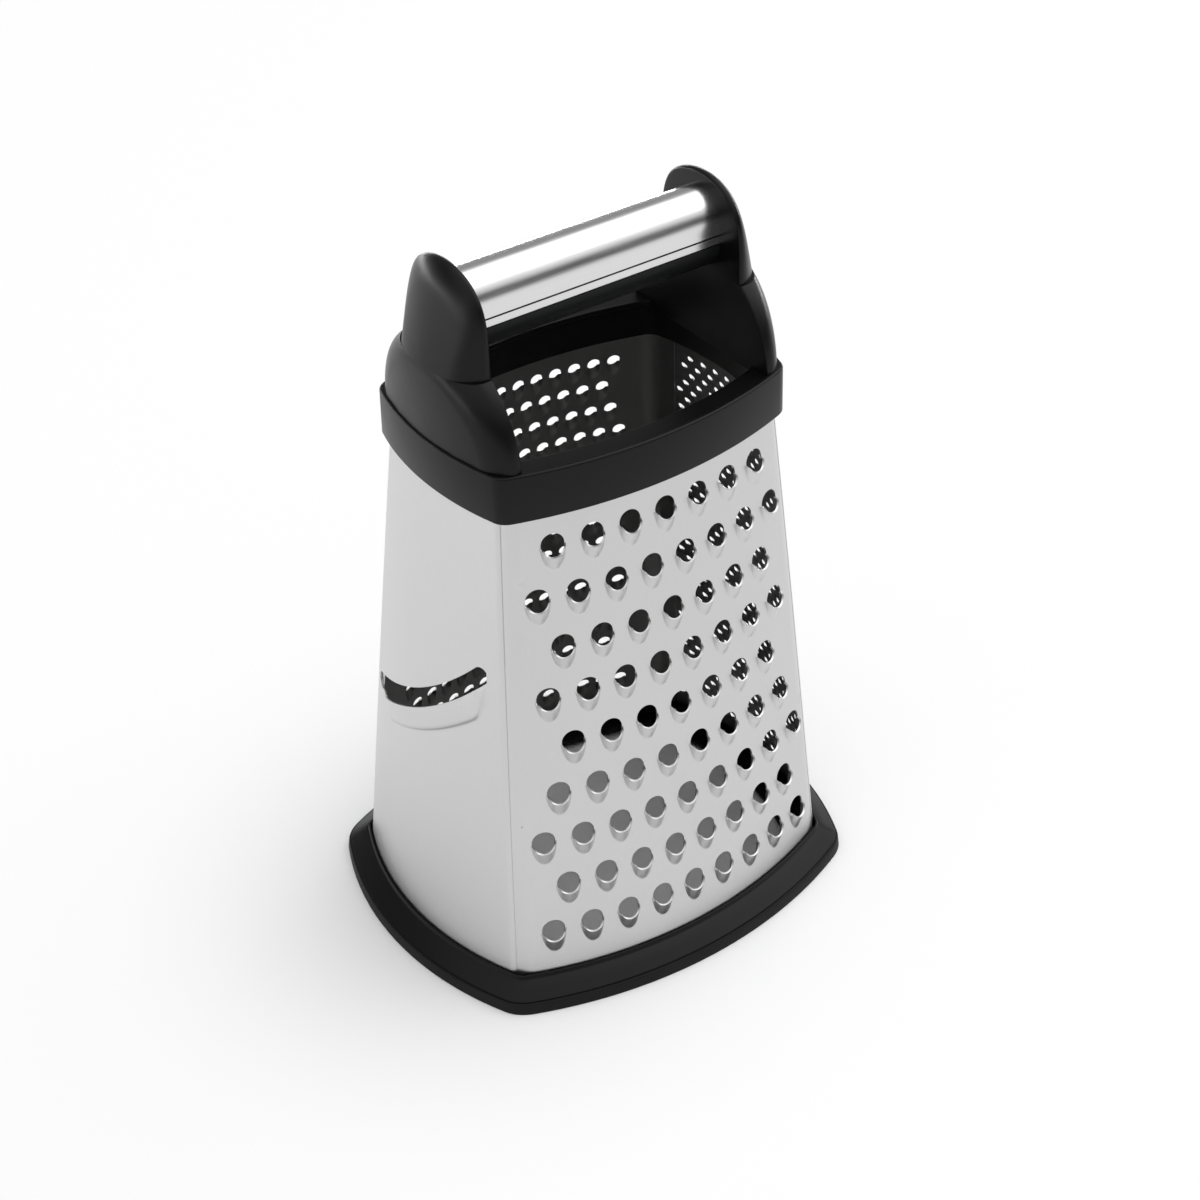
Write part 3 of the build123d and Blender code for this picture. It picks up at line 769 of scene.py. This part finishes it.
def rimFrame():
    piece = makeObject("rimFrame", *sweptRing(roundedProfile(top["profile"]),
                                              lambda grow: top["corner"]))
    weld(piece)
    points, faces = shoulderShape()
    for turn in (0, 180):
        block = makeObject("shoulder", turned(points, turn), faces)
        bm = bmesh.new()
        bm.from_mesh(block.data)
        bmesh.ops.remove_doubles(bm, verts=bm.verts, dist=weldGap * mm)
        cutLevel(bm, top["waist"], 1)
        cutLevel(bm, top["deck"], -1)
        bmesh.ops.recalc_face_normals(bm, faces=bm.faces)
        bm.to_mesh(block.data)
        bm.free()
        bm = bmesh.new()
        bm.from_mesh(piece.data)
        bm.from_mesh(block.data)
        bm.to_mesh(piece.data)
        bm.free()
        bpy.data.objects.remove(block)
    return smooth(piece, top["sharpAngle"])


finishPiece(rimFrame(), "top_frame", blackAbs)


# Each ear is upright at its foot and round at its head. It is flat inside, and bowed and leaning
# in outside.
ear = {
    "half": 20.4, "top": 253.5, "fullness": 0.45, "lean": 13.5, "planBow": 40.0,
    "edge": 8.5, "edgeShare": 0.9, "innerEdge": 1.0, "steps": 44, "sharpAngle": 34,
    "innerRows": (1.0, 0.7, 0.4, 0.15), "outerRows": (0.2, 0.45, 0.7, 1.0),
}


def earShape():  # lines from the inner face's middle, over the edge, to the outer face's middle
    waist, inner, e = top["waist"], top["grip"], ear["innerEdge"]
    points = []
    for angle in np.linspace(0, pi, ear["steps"] + 1):
        yo = -ear["half"] * cos(angle)
        zo = waist + (ear["top"] - waist) * sin(angle) ** ear["fullness"]
        full = np.hypot(yo, zo - waist)

        def at(inwards, x):  # a place on this line, that far in from the outline
            k = 1 - inwards / full
            return (x, yo * k, waist + (zo - waist) * k)

        def facing(inwards):  # how far out the leaning, bowed outside stands there
            _, py, pz = at(inwards, 0)
            bow = ear["planBow"] - (ear["planBow"] ** 2 - py ** 2) ** 0.5
            return top["reach"] - (pz - waist) * tan(radians(ear["lean"])) - bow

        line = [at(e + (full - e) * share, inner) for share in ear["innerRows"]]
        line += [at(e * (1 - sin(t)), inner + e * (1 - cos(t))) for t in quarterTurns["innerEdge"]]
        rise = ear["edgeShare"] * (facing(0) - inner - e)
        for t in quarterTurns["edge"]:
            inwards = ear["edge"] * (1 - cos(t))
            line.append(at(inwards, facing(inwards) - rise * (1 - sin(t))))
        for share in ear["outerRows"]:
            inwards = ear["edge"] + (full - ear["edge"]) * share
            line.append(at(inwards, facing(inwards)))
        points += line
    count = len(line)
    faces = quads(ear["steps"] + 1, count)
    # The foot closes on the first line and the last.
    lastLine = len(points) - count
    faces.append(list(range(count)) + [lastLine + i for i in range(count - 2, 0, -1)])
    return np.array(points), faces


for name, turn, node in (("rightEar", 0, "right_ear_cap"), ("leftEar", 180, "left_ear_cap")):
    points, faces = earShape()
    piece = makeObject(name, turned(points, turn), faces)
    weld(piece)
    smooth(piece, ear["sharpAngle"])
    finishPiece(piece, node, blackAbs)
print("rim and ears made")


# The saddle is an upside-down U with its lower hem set in, and the core closes it from below.
handle = {
    "radius": 10.2, "topCentre": 238.8, "lowCentre": 232.5, "half": 46.4, "sheet": 1.0,
    "hem": 3.5, "joggle": 0.55, "joggleRun": 1.0, "shortWall": 1.0, "gap": 0.2,
    "outerSteps": 49, "innerSteps": 33, "coreSteps": 41, "sharpAngle": 28,
}


def barShape(outline):  # a closed outline of (y, z) places carried along the handle
    half, count = handle["half"], len(outline)
    points = [(x, y, z) for x in (-half, -half / 3, half / 3, half) for y, z in outline]
    faces = quads(4, count, closed=True)
    faces.append(list(range(count)))
    faces.append([3 * count + i for i in range(count)])
    return points, faces


def saddleOutline():
    r, low, high = handle["radius"], handle["lowCentre"], handle["topCentre"]
    hem, hemR, innerR = low + handle["hem"], r - handle["joggle"], r - handle["sheet"]
    wall = [(hemR, low), (hemR, hem - handle["joggleRun"]), (r, hem),
            (r, high - handle["shortWall"])]
    outer = wall + [(r * cos(t), high + r * sin(t))
                    for t in np.linspace(0, pi, handle["outerSteps"])]
    outer += [(-y, z) for y, z in wall[::-1]]
    inner = [(innerR * cos(t), high + innerR * sin(t))
             for t in np.linspace(pi, 0, handle["innerSteps"])]
    return outer + [(-innerR, low)] + inner + [(innerR, low)]


def coreOutline():
    r, low = handle["radius"], handle["lowCentre"] - handle["gap"]
    return [(r * cos(t), low + r * sin(t)) for t in np.linspace(0, -pi, handle["coreSteps"])]


saddle = makeObject("handleSaddle", *barShape(saddleOutline()))
core = makeObject("handleCore", *barShape(coreOutline()))
for piece in (saddle, core):
    weld(piece)
    smooth(piece, handle["sharpAngle"])
finishPiece(saddle, "handle_shell", tubeSteel)
finishPiece(core, "handle_core", coreNylon)
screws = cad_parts["ear_screws"]
screws.data.materials.clear()
screws.data.materials.append(turnedSteel)
print("handle made")


studio = {
    "floor": "#FBFBFB", "floorHalf": 3000, "floorRoughness": 0.9, "floorSpecular": 0.1,
    # The paper is plain up to the first radius, in metres. This share is white past the second.
    "paper": (0.07, 0.18, 0.7),
    "lampPower": 8.0, "lampPlace": (0.95, -0.1, 1.5), "lampSize": 1.8, "lampAim": (0, 0, 0.1),
    # Light by angle over the object: the front horizon is 0, straight up is 0.5, the back is 1.
    "sky": ((0.0, 0.5), (0.03, 0.13), (0.12, 0.13), (0.17, 0.6), (0.22, 0.88), (0.3, 1.12),
            (0.45, 1.25), (0.55, 1.2), (0.62, 1.05), (0.67, 0.95), (0.72, 0.3), (0.85, 0.3),
            (1.0, 0.35)),
    "skyColour": "#FFFFFF", "skyTop": 2.0, "sideways": 0.2,
}

# Matt paper under the object. What the camera and the gloss see of it turns white further out.
end = studio["floorHalf"]
floor = makeObject("floor", [(-end, -end, 0), (end, -end, 0), (end, end, 0), (-end, end, 0)],
                   [(0, 1, 2, 3)])
paper, paperTree, paperShader = newMaterial("Matt white paper")
paperShader.inputs["Base Color"].default_value = hexColour(studio["floor"])
paperShader.inputs["Roughness"].default_value = studio["floorRoughness"]
paperShader.inputs["Specular IOR Level"].default_value = studio["floorSpecular"]
ray = addNode(paperTree, "ShaderNodeLightPath").outputs
seen = addNode(paperTree, "ShaderNodeMath", {"operation": "MAXIMUM"},
               i0=ray["Is Camera Ray"], i1=ray["Is Glossy Ray"])
spread = addNode(paperTree, "ShaderNodeVectorMath", {"operation": "LENGTH"},
                 i0=addNode(paperTree, "ShaderNodeTexCoord").outputs["Object"])
clear = addNode(paperTree, "ShaderNodeMapRange", {"interpolation_type": "SMOOTHSTEP"},
                i0=spread.outputs["Value"], i1=studio["paper"][0], i2=studio["paper"][1],
                i3=0.0, i4=studio["paper"][2])
share = addNode(paperTree, "ShaderNodeMath", {"operation": "MULTIPLY"},
                i0=seen.outputs[0], i1=clear.outputs[0])
white = addNode(paperTree, "ShaderNodeEmission", Strength=1.0)
both = addNode(paperTree, "ShaderNodeMixShader", i0=share.outputs[0],
               i1=paperShader.outputs[0], i2=white.outputs[0])
paperTree.links.new(both.outputs[0], paperTree.nodes["Material Output"].inputs["Surface"])
floor.data.materials.append(paper)

# A white room. Its light changes with the angle over the object, and gives the handle its bands.
world = bpy.data.worlds.new("studio")
world.use_nodes = True
bpy.context.scene.world = world
skyTree = world.node_tree
sky = skyTree.nodes["Background"]
sky.inputs["Color"].default_value = hexColour(studio["skyColour"])
toward = addNode(skyTree, "ShaderNodeSeparateXYZ",
                 Vector=addNode(skyTree, "ShaderNodeTexCoord").outputs["Generated"]).outputs
forward = addNode(skyTree, "ShaderNodeMath", {"operation": "MULTIPLY"}, i0=toward[1], i1=-1.0)
swing = addNode(skyTree, "ShaderNodeMath", {"operation": "ARCTAN2"},
                i0=toward[2], i1=forward.outputs[0])
turnShare = addNode(skyTree, "ShaderNodeMath", {"operation": "DIVIDE"}, i0=swing.outputs[0], i1=pi)
bands = addNode(skyTree, "ShaderNodeFloatCurve", Value=turnShare.outputs[0])
curve = bands.mapping.curves[0]
skyPoints = [(x, y / studio["skyTop"]) for x, y in studio["sky"]]  # the curve holds 0 to 1
for x, y in skyPoints[1:-1]:
    curve.points.new(x, y)
curve.points[0].location = skyPoints[0]
curve.points[len(curve.points) - 1].location = skyPoints[-1]
for point in curve.points:
    point.handle_type = "VECTOR"
bands.mapping.update()
tip = addNode(skyTree, "ShaderNodeMath", {"operation": "MULTIPLY_ADD"}, i0=toward[0],
              i1=studio["skyTop"] * studio["sideways"], i2=studio["skyTop"])  # more from the right
light = addNode(skyTree, "ShaderNodeMath", {"operation": "MULTIPLY"},
                i0=bands.outputs[0], i1=tip.outputs[0])
direct = addNode(skyTree, "ShaderNodeLightPath").outputs["Is Camera Ray"]
shown = addNode(skyTree, "ShaderNodeMix", i0=direct, i2=light.outputs[0], i3=1.0)
skyTree.links.new(shown.outputs[0], sky.inputs["Strength"])

# One large soft lamp from the right.
lampData = bpy.data.lights.new("softbox", "AREA")
lampData.size, lampData.energy = studio["lampSize"], studio["lampPower"]
lamp = bpy.data.objects.new("softbox", lampData)
bpy.context.scene.collection.objects.link(lamp)
lamp.location = studio["lampPlace"]
lampWay = Vector(studio["lampAim"]) - lamp.location
lamp.rotation_euler = lampWay.to_track_quat("-Z", "Y").to_euler()
print("studio made")

# The photograph's camera: angles in degrees, place in millimetres.
view = {"azimuth": 35.03, "elevation": 36.17, "roll": -1.16, "place": (-372.9, -539.3, 588.7),
        "lens": 72.5, "sensor": 36.0, "clip": (0.01, 20)}
az, el, roll = (radians(view[k]) for k in ("azimuth", "elevation", "roll"))
ahead = Vector((sin(az) * cos(el), cos(az) * cos(el), -sin(el)))
level = Vector((cos(az), -sin(az), 0))
over = level.cross(ahead)
rightward = level * cos(roll) + over * sin(roll)
upward = over * cos(roll) - level * sin(roll)
cameraData = bpy.data.cameras.new("camera")
cameraData.lens, cameraData.sensor_width = view["lens"], view["sensor"]
cameraData.sensor_fit = "HORIZONTAL"
cameraData.clip_start, cameraData.clip_end = view["clip"]
camera = bpy.data.objects.new("camera", cameraData)
bpy.context.scene.collection.objects.link(camera)
cameraTurn = Matrix((rightward, upward, -ahead)).transposed().to_4x4()
camera.matrix_world = Matrix.Translation(Vector(view["place"]) * mm) @ cameraTurn
bpy.context.scene.camera = camera
bpy.context.scene.view_settings.view_transform = "Standard"
